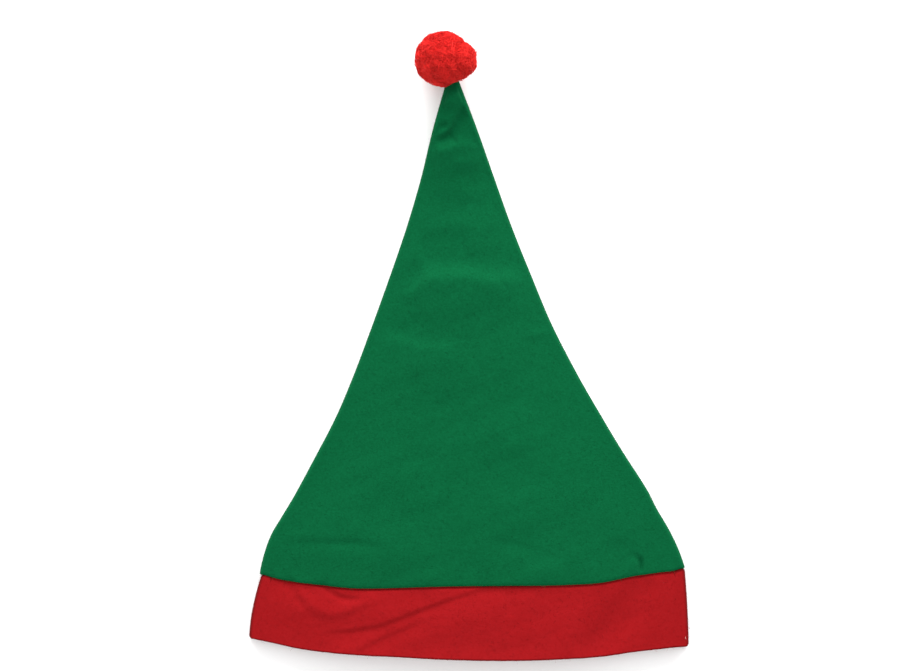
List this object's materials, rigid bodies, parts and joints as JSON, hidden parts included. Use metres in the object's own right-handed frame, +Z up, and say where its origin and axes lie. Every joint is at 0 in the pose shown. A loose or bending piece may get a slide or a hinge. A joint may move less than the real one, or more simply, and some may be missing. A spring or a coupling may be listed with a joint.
{
  "type": "elf hat",
  "caption": "Pointed felt party hat lying flat, with a contrasting sewn band round its open mouth and a yarn pompom on its tip.",
  "frame": {"origin": "middle of the hat's bounding box, on the table that it lies on", "axes": "+Y from the mouth to the tip, +Z up from the table, +X to the right when seen from above with the tip away"},
  "size_m": [0.29, 0.4124, 0.037],
  "materials": {
    "green_felt": "soft matte felt",
    "red_felt": "soft matte felt",
    "red_yarn": "fluffy cut yarn"
  },
  "bodies": {
    "root": {"crown_front": "green_felt", "crown_back": "green_felt", "band_front": "red_felt", "band_back": "red_felt", "pompom": "red_yarn"}
  },
  "joints": []
}
